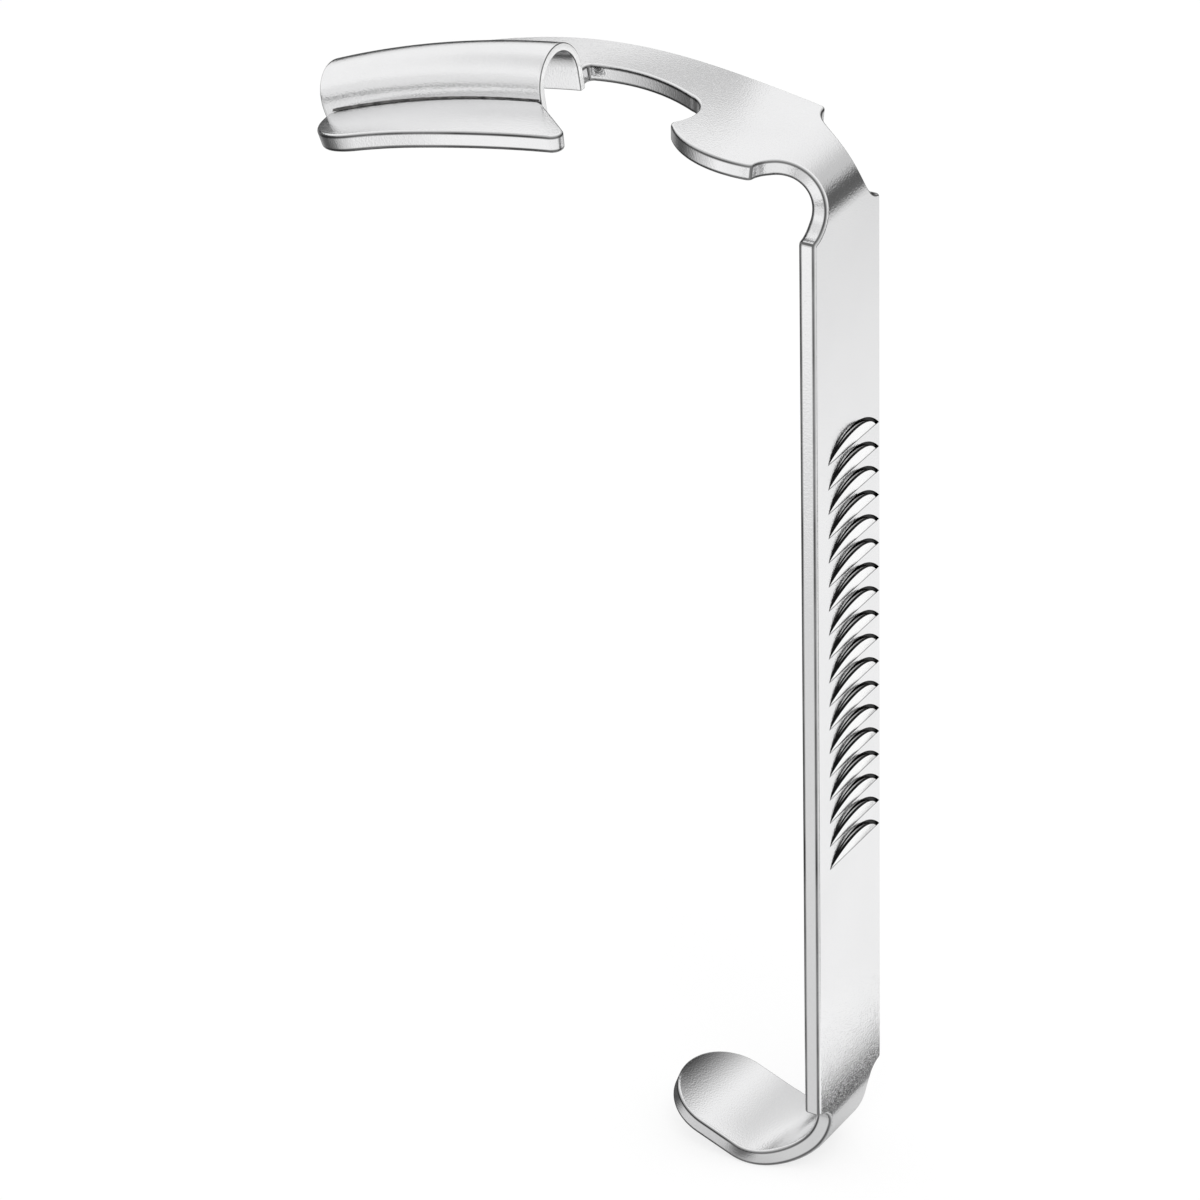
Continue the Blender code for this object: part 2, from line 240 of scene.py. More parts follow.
def window_edge():
    """Open window behind the guide, along the far band to its round rear end."""
    shoulder = MOUTH + SHOULDER_AHEAD
    cx = HEEL + WINDOW_REAR + WINDOW_R
    jx = cx + WINDOW_R * math.cos(math.radians(WINDOW_JOIN))
    jy = WINDOW_Y + WINDOW_R * math.sin(math.radians(WINDOW_JOIN))
    pts = [(shoulder, GROOVE)]
    for t in spread(1.0, 0.0, 24):
        pts.append((jx + (shoulder - jx) * t, RAIL_Y - (RAIL_Y - jy) * (1.0 - t) ** RAIL_CURVE))
    return pts + sweep(cx, WINDOW_Y, WINDOW_R, WINDOW_R, WINDOW_JOIN, WINDOW_TURN, 26)


def lobe_edge():
    """Lobe beside the window. Its small round nose touches the window from outside and the
    lobe from inside."""
    cx = HEEL + WINDOW_REAR + WINDOW_R
    heel_half = BLADE_HEEL_W / 2
    lobe_cx = CORNER + LOBE_FORWARD
    lobe_cy = -heel_half + math.sqrt(LOBE_R ** 2 - LOBE_FORWARD ** 2)
    ra = LOBE_R - LOBE_NOSE_R
    rb = WINDOW_R + LOBE_NOSE_R
    dx = cx - lobe_cx
    dy = WINDOW_Y - lobe_cy
    d = math.hypot(dx, dy)
    along = (d * d + ra * ra - rb * rb) / (2 * d)
    across = math.sqrt(max(ra * ra - along * along, 0.0))
    nx = lobe_cx + along * dx / d + across * dy / d
    ny = lobe_cy + along * dy / d - across * dx / d
    nose_in = math.degrees(math.atan2(WINDOW_Y - ny, cx - nx))
    nose_out = math.degrees(math.atan2(ny - lobe_cy, nx - lobe_cx))
    window_end = math.degrees(math.atan2(ny - WINDOW_Y, nx - cx)) % 360.0
    at_heel = math.degrees(math.atan2(-heel_half - lobe_cy, CORNER - lobe_cx))
    pts = sweep(cx, WINDOW_Y, WINDOW_R, WINDOW_R, WINDOW_TURN, window_end, 6)
    pts += sweep(nx, ny, LOBE_NOSE_R, LOBE_NOSE_R, nose_in, nose_out, 14)
    return pts + sweep(lobe_cx, lobe_cy, LOBE_R, LOBE_R, nose_out, at_heel, 28)


def plate_outline():
    side = hook_side() + head_notch()
    mirrored = [(run, -y) for run, y in reversed(side)]
    return side + far_edge() + window_edge() + lobe_edge() + mirrored


def crease_runs(low, high):
    """Lengths at which the plate is divided, close together in the bends."""
    runs = spread(-HOOK_LEN, 0.0, HOOK_CREASES) + spread(0.0, HANDLE_L, HANDLE_CREASES)
    runs += spread(HANDLE_L, HEEL, HEAD_CREASES) + spread(HEEL, GUIDE_TIP, BLADE_CREASES)
    inside = sorted(run for run in runs if low - 1.0 < run < high + 1.0)
    out = [low - PLATE_T]
    for run in inside + [high + PLATE_T]:
        if run - out[-1] > CREASE_GAP:
            out.append(run)
    return out


def round_corners(points, cut):
    """Takes each sharp outline corner back by an even length on both sides and rounds it. Each
    point gets a third number: 1 in the middle of a corner and 0 elsewhere."""
    clean = []
    for p in points:
        if not clean or math.dist(p, clean[-1]) > SAME_POINT:
            clean.append(p)
    if math.dist(clean[0], clean[-1]) < SAME_POINT:
        clean.pop()
    count = len(clean)
    at = [0.0]
    for i in range(count):
        at.append(at[-1] + math.dist(clean[i], clean[(i + 1) % count]))
    whole = at[-1]

    def point(length):
        length %= whole
        i = min(bisect.bisect_right(at, length) - 1, count - 1)
        t = (length - at[i]) / (at[i + 1] - at[i])
        return Vector(clean[i]).lerp(Vector(clean[(i + 1) % count]), t)

    corners = []
    for i, p in enumerate(clean):
        before = Vector(p) - Vector(clean[i - 1])
        after = Vector(clean[(i + 1) % count]) - Vector(p)
        if before.angle(after) > CORNER_ANGLE:
            corners.append(i)
    out = []
    for i, p in enumerate(clean):
        away = [abs((at[i] - at[c] + whole / 2) % whole - whole / 2) for c in corners]
        if i in corners:
            a = point(at[i] - cut)
            b = point(at[i] + cut)
            for t in spread(0.0, 1.0, CORNER_POINTS):
                q = a.lerp(Vector(p), t).lerp(Vector(p).lerp(b, t), t)
                out.append((q.x, q.y, float(abs(t - 0.5) < CORNER_MIDDLE)))
        elif min(away) > cut * CORNER_CLEAR:
            out.append((*p, 0.0))
    return out


def inset(outline, by):
    """The outline drawn in by an even distance, for an outline that runs anticlockwise."""
    out = []
    for i, p in enumerate(outline):
        before = (Vector(p) - Vector(outline[i - 1])).normalized()
        after = (Vector(outline[(i + 1) % len(outline)]) - Vector(p)).normalized()
        side = Vector((-before.y - after.y, before.x + after.x))
        q = Vector(p) + side * (by / (1.0 + before.dot(after)))
        out.append((q.x, q.y))
    return out


def cut_and_bend(name, points):
    """Flat blank with rounded edges, divided across its length and bent to its place. The
    number "arris" marks the fine lines of painted shade where each rounded edge runs into the
    cut wall, and where two walls meet in a corner."""
    marked = round_corners(points, CORNER_CUT)
    turning = sum(a[0] * b[1] - b[0] * a[1] for a, b in zip(marked, marked[1:] + marked[:1]))
    if turning < 0.0:
        marked.reverse()
    outline = [(x, y) for x, y, mark in marked]
    bm = bmesh.new()
    line = bm.verts.layers.float.new("arris")
    levels = []
    for a in spread(0.0, math.pi / 2, EDGE_RINGS):
        levels.append(((1.0 - math.sin(a)) * EDGE_R, (1.0 - math.cos(a)) * EDGE_R,
                       min(max((a - ARRIS_FROM) / ARRIS_OVER, 0.0), 1.0)))
    levels.append((0.0, EDGE_R + ARRIS_W, 0.0))
    levels += [(q, PLATE_T - z, dark) for q, z, dark in reversed(levels)]
    rings = []
    for drawn_in, depth, dark in levels:
        rings.append([bm.verts.new((run, y, depth)) for run, y in inset(outline, drawn_in)])
        for v, corner in zip(rings[-1], marked):
            v[line] = dark if drawn_in > 0.0 else max(dark, corner[2])
    bm.faces.new(rings[0])
    bm.faces.new(reversed(rings[-1]))
    for upper, lower in zip(rings, rings[1:]):
        for i in range(len(outline)):
            j = (i + 1) % len(outline)
            bm.faces.new((upper[i], lower[i], lower[j], upper[j]))
    runs = crease_runs(min(p[0] for p in outline), max(p[0] for p in outline))
    for run in runs[1:-1]:
        geom = bm.verts[:] + bm.edges[:] + bm.faces[:]
        bmesh.ops.bisect_plane(bm, geom=geom, dist=1e-4, plane_co=(run, 0, 0), plane_no=(1, 0, 0))
    bmesh.ops.remove_doubles(bm, verts=bm.verts[:], dist=WELD)
    placed = [plate_place(run) for run in runs]
    for v in bm.verts:
        i = min(max(bisect.bisect_right(runs, v.co.x) - 1, 0), len(runs) - 2)
        t = (v.co.x - runs[i]) / (runs[i + 1] - runs[i])
        x, z, nx, nz = [a + (b - a) * t for a, b in zip(placed[i], placed[i + 1])]
        v.co = ((x - v.co.z * nx) * MM, (v.co.y + MID_Y) * MM, (z - v.co.z * nz) * MM)
    bmesh.ops.recalc_face_normals(bm, faces=bm.faces[:])
    if bm.calc_volume(signed=True) < 0.0:
        bmesh.ops.reverse_faces(bm, faces=bm.faces[:])
    mesh = bpy.data.meshes.new(name)
    bm.to_mesh(mesh)
    bm.free()
    piece = bpy.data.objects.new(name, mesh)
    scene.collection.objects.link(piece)
    return piece


def set_plainly(piece):
    """Turns a piece and its modifiers into one plain mesh on the same object."""
    bpy.context.view_layer.update()
    ready = piece.evaluated_get(bpy.context.evaluated_depsgraph_get())
    mesh = bpy.data.meshes.new_from_object(ready)
    piece.modifiers.clear()
    piece.data = mesh
    mesh.name = piece.name
    return piece


def polish_faces(piece):
    """Smooth shading, with the broad faces held to the plate's true bend, and a flat pattern
    map: length along the plate, and distance across it plus height."""
    mesh = piece.data
    places = [along_plate(v.co.x / MM, v.co.z / MM) for v in mesh.vertices]
    bm = bmesh.new()
    bm.from_mesh(mesh)
    for f in bm.faces:
        f.smooth = True
    for e in bm.edges:
        heights = [places[v.index][1] for v in e.verts]
        on_face = all(min(abs(h), abs(h + PLATE_T)) < ON_FACE for h in heights)
        if len(e.link_faces) == 2:
            angle = math.degrees(e.calc_face_angle(0.0))
            e.smooth = angle < (FACE_SHARP if on_face else WALL_SHARP)
    bm.to_mesh(mesh)
    bm.free()
    flat = mesh.uv_layers.get("flat") or mesh.uv_layers.new(name="flat")
    normals = [Vector(n.vector) for n in mesh.corner_normals]
    for poly in mesh.polygons:
        for corner in poly.loop_indices:
            at = mesh.loops[corner].vertex_index
            run, height = places[at]
            flat.data[corner].uv = (run * MM, mesh.vertices[at].co.y + height * MM)
            if min(abs(height), abs(height + PLATE_T)) > BY_FACE:
                continue
            nx, nz = plate_place(run)[2:]
            facing = poly.normal.x * nx + poly.normal.z * nz
            if abs(facing) > TRUE_FACING:
                normals[corner] = Vector((nx, 0.0, nz)) * (1.0 if facing > 0 else -1.0)
    mesh.normals_split_custom_set(normals)
    return piece


STEEL_DARK = (0.82, 0.82, 0.825, 1.0)
STEEL_LIGHT = (0.88, 0.88, 0.885, 1.0)
# Colour of the painted shade line along each arris.
ARRIS_SHADE = 0.06
CLOUD_SCALE = 70.0
BELT_SCALE = 7000.0
BELT_STRETCH = 14.0
BEAD_SCALE = 4300.0
CLOUD_SPAN = (0.35, 0.65)
SATIN_SHARES = (0.5, 0.2, 0.3)
BELT_RELIEF = 0.13
SATIN_ROUGH = (0.13, 0.18)
SATIN_RELIEF = 0.024
ARRIS_SHADE_LEFT = 0.72


def feed(tree, slot, value):
    if isinstance(value, bpy.types.NodeSocket):
        tree.links.new(value, slot)
    else:
        slot.default_value = value


def step(tree, kind, inputs=None, **settings):
    """Adds one node, sets its properties, and feeds its inputs by name or index."""
    node = tree.nodes.new(kind)
    for key, value in settings.items():
        setattr(node, key, value)
    for key, value in (inputs or {}).items():
        feed(tree, node.inputs[key], value)
    return node


def calc(tree, operation, a, b=0.0, c=0.0):
    return step(tree, "ShaderNodeMath", {0: a, 1: b, 2: c}, operation=operation).outputs[0]


def grey(level):
    return level, level, level, 1.0


def spot(tree):
    """Place on the piece, which sits where it was made."""
    return step(tree, "ShaderNodeTexCoord").outputs["Object"]


def carried(tree, label):
    """Number that the mesh itself carries."""
    return step(tree, "ShaderNodeAttribute", attribute_name=label).outputs["Fac"]


def grain(tree, vector, stretch, scale, detail, rough=0.5):
    """Noise drawn out along the plate, as belt grinding leaves it."""
    drawn = step(tree, "ShaderNodeMapping", {"Vector": vector, "Scale": (1.0 / stretch, 1.0, 1.0)})
    return step(tree, "ShaderNodeTexNoise", {
        "Vector": drawn.outputs["Vector"], "Scale": scale, "Detail": detail,
        "Roughness": rough}).outputs["Fac"]


def ramp(tree, value, low, high, from_low=0.3, from_high=0.7, curve='LINEAR'):
    return step(tree, "ShaderNodeMapRange", {
        "Value": value, "From Min": from_low, "From Max": from_high, "To Min": low,
        "To Max": high}, interpolation_type=curve).outputs["Result"]


def tint(tree, share, dark, light):
    return step(tree, "ShaderNodeMix", {"Factor": share, "A": dark, "B": light},
                data_type='RGBA').outputs["Result"]


def new_metal(name):
    """Material of bare metal, its tree and its shader's inputs."""
    mat = bpy.data.materials.new(name)
    mat.use_nodes = True
    finish = mat.node_tree.nodes["Principled BSDF"].inputs
    finish["Metallic"].default_value = 1.0
    return mat, mat.node_tree, finish


def satin_steel(name, rough=SATIN_ROUGH, relief_mm=SATIN_RELIEF, dark=STEEL_DARK, light=STEEL_LIGHT):
    """Stainless steel, belt ground along its length and then blasted to a fine even satin.
    A fine dark line of painted shade runs along each arris and draws its outline."""
    mat, tree, finish = new_metal(name)
    flat = step(tree, "ShaderNodeUVMap", uv_map="flat").outputs["UV"]
    clouds = grain(tree, spot(tree), 1.0, CLOUD_SCALE, 3.0)
    belt = grain(tree, flat, BELT_STRETCH, BELT_SCALE, 3.0, 0.6)
    beads = grain(tree, spot(tree), 1.0, BEAD_SCALE, 1.0)
    of_clouds, of_belt, of_beads = [calc(tree, 'MULTIPLY', part, share)
                                    for part, share in zip((clouds, belt, beads), SATIN_SHARES)]
    tone = calc(tree, 'ADD', of_clouds, calc(tree, 'ADD', of_belt, of_beads))
    ground = tint(tree, ramp(tree, tone, 0.0, 1.0, *CLOUD_SPAN), dark, light)
    # Painted shade along each arris, a little fainter where the cloud noise is low.
    left = ramp(tree, clouds, ARRIS_SHADE_LEFT, 1.0, *CLOUD_SPAN)
    arris_shade = calc(tree, 'MULTIPLY', carried(tree, "arris"), left)
    feed(tree, finish["Base Color"], tint(tree, arris_shade, ground, grey(ARRIS_SHADE)))
    feed(tree, finish["Roughness"], ramp(tree, clouds, *rough))
    relief = calc(tree, 'MULTIPLY_ADD', belt, BELT_RELIEF, beads)
    bump = step(tree, "ShaderNodeBump", {
        "Strength": 1.0, "Distance": relief_mm * MM, "Height": relief})
    feed(tree, finish["Normal"], bump.outputs["Normal"])
    return mat


plate_steel = satin_steel("plate_satin_steel")
plate = cut_and_bend("steel_plate", plate_outline())


# ---- Ratchet teeth: eighteen half moons raised out of the handle ----------------------------
# Each tooth is pushed up from behind by a half moon punch. It lies flush along its straight
# lower edge and rises to a square ledge along its arc, and the punch leaves a dent behind it.
TEETH = 18
TOOTH_PITCH = 3.56
TOOTH_CHORD = 12.8
TOOTH_SAGITTA = 2.65
TOOTH_LAST_Z = 49.25
TOOTH_OFFSET_Y = 0.85
TOOTH_LEDGE_R = 0.05
TOOTH_TAIL = 0.6
TOOTH_ARC_POINTS = 33
TOOTH_WELD = 0.005
DENT_INSET = 0.35
# Darker colours of the dents behind the teeth: painted shade in the recess.
DENT_SHADE_DARK = (0.56, 0.56, 0.565, 1.0)
DENT_SHADE_LIGHT = (0.66, 0.66, 0.665, 1.0)
DENT_ROUGH = (0.30, 0.38)
TOOTH_ROOT = 0.5
# Depths below the rim and heights over the face, in millimetres, over which the painted shade fades.
RIM_LINE = (0.18, 0.24)
CORNER_LINE = (0.096, 0.16)
TORN_BRIGHT = 0.86
# Dark colour of the painted shade on tooth and slit walls, also taken a little by the torn grain.
SHADE_AND_TORN_DARK = 0.012
TORN_SCALE = 2500.0
TORN_SHARE = 0.2
TORN_ROUGH = 0.45
SLIT_W = 0.28
SLIT_SHIFT = 0.42
SLIT_DEPTH = 0.3
# Heights over the face, and dark colour, of the painted shade along each tooth's crease.
CHORD_LINE = (0.048, 0.08)
CHORD_SHADE = 0.16
WORN_ROUGH = (0.14, 0.24)
WORN_RELIEF = 0.0008
# Colours of the painted highlight that lightens each tooth top.
TOP_HIGHLIGHT_DARK = 0.90
TOP_HIGHLIGHT_BRIGHT = 0.98


def start_tree(name, sizes):
    """Empty geometry tree with named number inputs and a material input."""
    tree = bpy.data.node_groups.new(name, 'GeometryNodeTree')
    tree.interface.new_socket("Geometry", in_out='INPUT', socket_type='NodeSocketGeometry')
    for label, value in sizes.items():
        kind = 'NodeSocketInt' if isinstance(value, int) else 'NodeSocketFloat'
        tree.interface.new_socket(label, in_out='INPUT', socket_type=kind)
    for label in ("Material", "Edge Material"):
        tree.interface.new_socket(label, in_out='INPUT', socket_type='NodeSocketMaterial')
    tree.interface.new_socket("Geometry", in_out='OUTPUT', socket_type='NodeSocketGeometry')
    given = tree.nodes.new("NodeGroupInput").outputs
    result = tree.nodes.new("NodeGroupOutput").inputs["Geometry"]
    return tree, given, result


def end_tree(tree, shape, given, result, walls=None):
    """Makes every copy real, then gives faces their material and the marked walls theirs."""
    real = step(tree, "GeometryNodeRealizeInstances", {"Geometry": shape})
    painted = step(tree, "GeometryNodeSetMaterial",
                   {"Geometry": real.outputs[0], "Material": given["Material"]})
    if walls:
        chosen = step(tree, "GeometryNodeInputNamedAttribute", {"Name": walls}, data_type='BOOLEAN')
        painted = step(tree, "GeometryNodeSetMaterial", {
            "Geometry": painted.outputs[0], "Selection": chosen.outputs["Attribute"],
            "Material": given["Edge Material"]})
    tree.links.new(painted.outputs[0], result)


def grow(name, tree, sizes, material, edge_material=None):
    """Plain mesh piece from a geometry tree, its inputs set by their identifiers."""
    piece = bpy.data.objects.new(name, bpy.data.meshes.new(name))
    scene.collection.objects.link(piece)
    mod = piece.modifiers.new("shape", 'NODES')
    mod.node_group = tree
    given = {**sizes, "Material": material, "Edge Material": edge_material or material}
    for item in tree.interface.items_tree:
        if item.item_type == 'SOCKET' and item.in_out == 'INPUT' and item.name in given:
            mod[item.identifier] = given[item.name]
    return set_plainly(piece)


def tooth_row_tree(sizes):
    """Half moons in a row. Each is drawn flat, raised, sloped down to its chord, and given a root
    that reaches into the plate."""
    tree, given, result = start_tree("half_moon_row", sizes)
    half = calc(tree, 'MULTIPLY', given["Chord"], 0.5)
    square = calc(tree, 'ADD', calc(tree, 'MULTIPLY', half, half),
                  calc(tree, 'MULTIPLY', given["Sagitta"], given["Sagitta"]))
    radius = calc(tree, 'DIVIDE', square, calc(tree, 'MULTIPLY', given["Sagitta"], 2.0))
    drop = calc(tree, 'SUBTRACT', radius, given["Sagitta"])
    below = calc(tree, 'SUBTRACT', given["Pitch"], given["Sagitta"])
    below = calc(tree, 'MULTIPLY', below, TOOTH_TAIL)
    swing = calc(tree, 'ARCCOSINE', calc(tree, 'DIVIDE', calc(tree, 'SUBTRACT', drop, below), radius))
    arc = step(tree, "GeometryNodeCurveArc", {
        "Resolution": TOOTH_ARC_POINTS, "Radius": calc(tree, 'SUBTRACT', radius, given["Inset"]),
        "Start Angle": calc(tree, 'SUBTRACT', math.pi / 2, swing),
        "Sweep Angle": calc(tree, 'MULTIPLY', swing, 2.0)})
    closed = step(tree, "GeometryNodeSetSplineCyclic", {"Geometry": arc.outputs[0], "Cyclic": True})
    floor_face = step(tree, "GeometryNodeFillCurve", {"Curve": closed.outputs[0]}, mode='NGONS')
    raised = step(tree, "GeometryNodeExtrudeMesh",
                  {"Mesh": floor_face.outputs[0], "Offset Scale": 0.001}, mode='FACES')
    where = step(tree, "ShaderNodeSeparateXYZ",
                 {0: tree.nodes.new("GeometryNodeInputPosition").outputs[0]})
    slope = calc(tree, 'DIVIDE', given["Height"], given["Sagitta"])
    lift = calc(tree, 'MULTIPLY', calc(tree, 'SUBTRACT', where.outputs["Y"], drop), slope)
    top_place = step(tree, "ShaderNodeCombineXYZ",
                     {0: where.outputs["X"], 1: where.outputs["Y"], 2: lift})
    low_place = step(tree, "ShaderNodeCombineXYZ", {
        0: where.outputs["X"], 1: where.outputs["Y"],
        2: calc(tree, 'MULTIPLY', given["Root"], -1.0)})
    sloped = step(tree, "GeometryNodeSetPosition", {
        "Geometry": raised.outputs["Mesh"], "Selection": raised.outputs["Top"],
        "Position": top_place.outputs[0]})
    not_top = step(tree, "FunctionNodeBooleanMath", {0: raised.outputs["Top"]}, operation='NOT')
    walls = step(tree, "GeometryNodeSetPosition", {
        "Geometry": sloped.outputs[0], "Selection": not_top.outputs[0],
        "Position": low_place.outputs[0]})
    deep = calc(tree, 'ADD', lift, given["Root"])
    fallen = step(tree, "GeometryNodeSwitch", {
        "Switch": raised.outputs["Top"], "False": deep, "True": 0.0}, input_type='FLOAT')
    marked = step(tree, "GeometryNodeStoreNamedAttribute", {
        "Geometry": walls.outputs[0], "Name": "below_rim", "Value": fallen.outputs[0]},
        data_type='FLOAT', domain='POINT')
    sides = step(tree, "GeometryNodeStoreNamedAttribute", {
        "Geometry": marked.outputs[0], "Name": "sheared", "Value": raised.outputs["Side"]},
        data_type='BOOLEAN', domain='FACE')
    base = step(tree, "GeometryNodeSetPosition", {
        "Geometry": floor_face.outputs[0], "Position": low_place.outputs[0]})
    base = step(tree, "GeometryNodeFlipFaces", {"Mesh": base.outputs[0]})
    both = step(tree, "GeometryNodeJoinGeometry")
    tree.links.new(base.outputs[0], both.inputs[0])
    tree.links.new(sides.outputs[0], both.inputs[0])
    tooth = step(tree, "GeometryNodeMergeByDistance",
                 {"Geometry": both.outputs[0], "Distance": TOOTH_WELD * MM})
    step_up = step(tree, "ShaderNodeCombineXYZ", {2: given["Pitch"]})
    first = step(tree, "ShaderNodeCombineXYZ", {
        0: given["Face"], 1: given["Across"],
        2: calc(tree, 'SUBTRACT', given["First"], drop)})
    row = step(tree, "GeometryNodeMeshLine", {
        "Count": given["Count"], "Start Location": first.outputs[0],
        "Offset": step_up.outputs[0]}, mode='OFFSET')
    placed = step(tree, "GeometryNodeInstanceOnPoints", {
        "Points": row.outputs[0], "Instance": tooth.outputs[0],
        "Rotation": (math.pi / 2, 0.0, math.pi / 2)})
    end_tree(tree, placed.outputs[0], given, result, "sheared")
    return tree


def over_face(tree):
    """Height of a spot over the handle's face, in millimetres."""
    where = step(tree, "ShaderNodeSeparateXYZ", {0: spot(tree)})
    return calc(tree, 'MULTIPLY', calc(tree, 'ADD', where.outputs["X"], -FACE_X * MM), 1.0 / MM)


def sheared_steel_painted_shade(name):
    """Raw wall of a punched tooth, with torn grain and painted shade darkening its corner and rim."""
    mat, tree, finish = new_metal(name)
    depth = calc(tree, 'MULTIPLY', carried(tree, "below_rim"), 1.0 / MM)
    near_rim = ramp(tree, depth, 1.0, 0.0, *RIM_LINE)
    in_corner = ramp(tree, over_face(tree), 1.0, 0.0, *CORNER_LINE)
    torn = grain(tree, spot(tree), 1.0, TORN_SCALE, 3.0)
    # Painted shade lines, with the torn grain adding a little darkness at random.
    lines = calc(tree, 'MAXIMUM', near_rim, in_corner)
    dark = calc(tree, 'MULTIPLY_ADD', torn, TORN_SHARE, lines)
    share = ramp(tree, dark, 0.0, 1.0, 0.1, 1.0)
    feed(tree, finish["Base Color"], tint(tree, share, grey(TORN_BRIGHT), grey(SHADE_AND_TORN_DARK)))
    finish["Roughness"].default_value = TORN_ROUGH
    return mat


def worn_tooth_top_painted_highlight(name):
    """Tooth top, smoothed by the gag's pawl, its colour lightened by a painted highlight, and
    a line of painted shade along its lower crease.
    """
    mat = satin_steel(name, WORN_ROUGH, WORN_RELIEF)
    tree = mat.node_tree
    colour = tree.nodes["Principled BSDF"].inputs["Base Color"]
    bright = tint(tree, colour.links[0].from_socket, grey(TOP_HIGHLIGHT_DARK), grey(TOP_HIGHLIGHT_BRIGHT))
    above_crease = ramp(tree, over_face(tree), 0.0, 1.0, *CHORD_LINE)
    feed(tree, colour, tint(tree, above_crease, grey(CHORD_SHADE), bright))
    return mat


tooth_sizes = {
    "Count": TEETH, "Pitch": TOOTH_PITCH * MM, "Chord": TOOTH_CHORD * MM,
    "Sagitta": TOOTH_SAGITTA * MM, "Height": TOOTH_H * MM, "Root": TOOTH_ROOT * MM,
    "Inset": 0.0, "Face": FACE_X * MM, "Across": (TOOTH_OFFSET_Y + MID_Y) * MM,
    "First": TOOTH_LAST_Z * MM}
half_moons = tooth_row_tree(tooth_sizes)
teeth = grow("ratchet_teeth", half_moons, tooth_sizes,
             worn_tooth_top_painted_highlight("tooth_top_steel"), sheared_steel_painted_shade("tooth_wall_steel"))
ledge = teeth.modifiers.new("ledge", 'BEVEL')
ledge.width = TOOTH_LEDGE_R * MM
ledge.segments = 2
ledge.limit_method = 'ANGLE'
ledge.angle_limit = math.radians(50.0)
set_plainly(teeth)
polish_faces(teeth)

dent_sizes = dict(tooth_sizes)
dent_sizes["Inset"] = DENT_INSET * MM
dent_sizes["Face"] = (FACE_X - PLATE_T) * MM
# The dents are darker than the plate: painted shade in the recess.
dent_steel = satin_steel("dent_painted_shade_steel", DENT_ROUGH, SATIN_RELIEF, DENT_SHADE_DARK, DENT_SHADE_LIGHT)
punch = grow("punch", half_moons, dent_sizes, dent_steel)
# A narrow slit is cut round each tooth's arc, and its walls are dark with the same painted shade.
slit_sizes = dict(tooth_sizes)
slit_sizes["Inset"] = -SLIT_W * MM
slit_sizes["Across"] = (TOOTH_OFFSET_Y + MID_Y + SLIT_SHIFT) * MM
slit_sizes["Root"] = SLIT_DEPTH * MM
shears = grow("shears", half_moons, slit_sizes, sheared_steel_painted_shade("slit_steel"))
plate.data.materials.append(plate_steel)
for tool in (punch, shears):
    cut = plate.modifiers.new("cut", 'BOOLEAN')
    cut.operation = 'DIFFERENCE'
    cut.solver = 'EXACT'
    cut.material_mode = 'TRANSFER'
    cut.object = tool
    set_plainly(plate)
    bpy.data.objects.remove(tool, do_unlink=True)
polish_faces(plate)
for piece in (plate, teeth):
    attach(piece, "root")
    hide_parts("blade_and_handle")


# ---- Tube guide: half round trough let into the blade ---------------------------------------
# Thin stainless sheet, pressed to a half round and bowed like the blade, with its two legs
# standing in the slot down to the plate's underside. Its rims are broken with a file.
GUIDE_LIFT_REAR = 0.3
GUIDE_LIFT_FRONT = 0.05
GUIDE_RIM_R = 0.16
GUIDE_GRID = (70, 61)
GUIDE_RELIEF = 0.020
RIM_TURN = math.radians(60.0)
RIM_NARROW = 0.7
END_MARGIN = 0.02
# Painted highlight on the trough's end rims: its colour and how much metal it keeps.
END_RIM_HIGHLIGHT = 0.97
END_RIM_HIGHLIGHT_METAL = 0.25


def bowed(tree, run, across, height):
    """Place on the bowed blade: run past the heel, distance across, height over the face."""
    turn = calc(tree, 'ADD', calc(tree, 'DIVIDE', run, BLADE_BOW_R * MM), HEAD_TURN)
    reach = calc(tree, 'ADD', height, BLADE_BOW_R * MM)
    x = calc(tree, 'ADD', calc(tree, 'MULTIPLY', reach, calc(tree, 'COSINE', turn)), BOW_X * MM)
    z = calc(tree, 'ADD', calc(tree, 'MULTIPLY', reach, calc(tree, 'SINE', turn)), BOW_Z * MM)
    return step(tree, "ShaderNodeCombineXYZ", {0: x, 1: across, 2: z}).outputs[0]


def sheet_grid(tree, rows, columns):
    """Grid of one unit each way, and its two counts from 0 to 1."""
    grid = step(tree, "GeometryNodeMeshGrid",
                {"Size X": 1.0, "Size Y": 1.0, "Vertices X": rows, "Vertices Y": columns})
    where = step(tree, "ShaderNodeSeparateXYZ",
                 {0: tree.nodes.new("GeometryNodeInputPosition").outputs[0]})
    u = calc(tree, 'ADD', where.outputs["X"], 0.5)
    return grid, u, where.outputs["Y"]


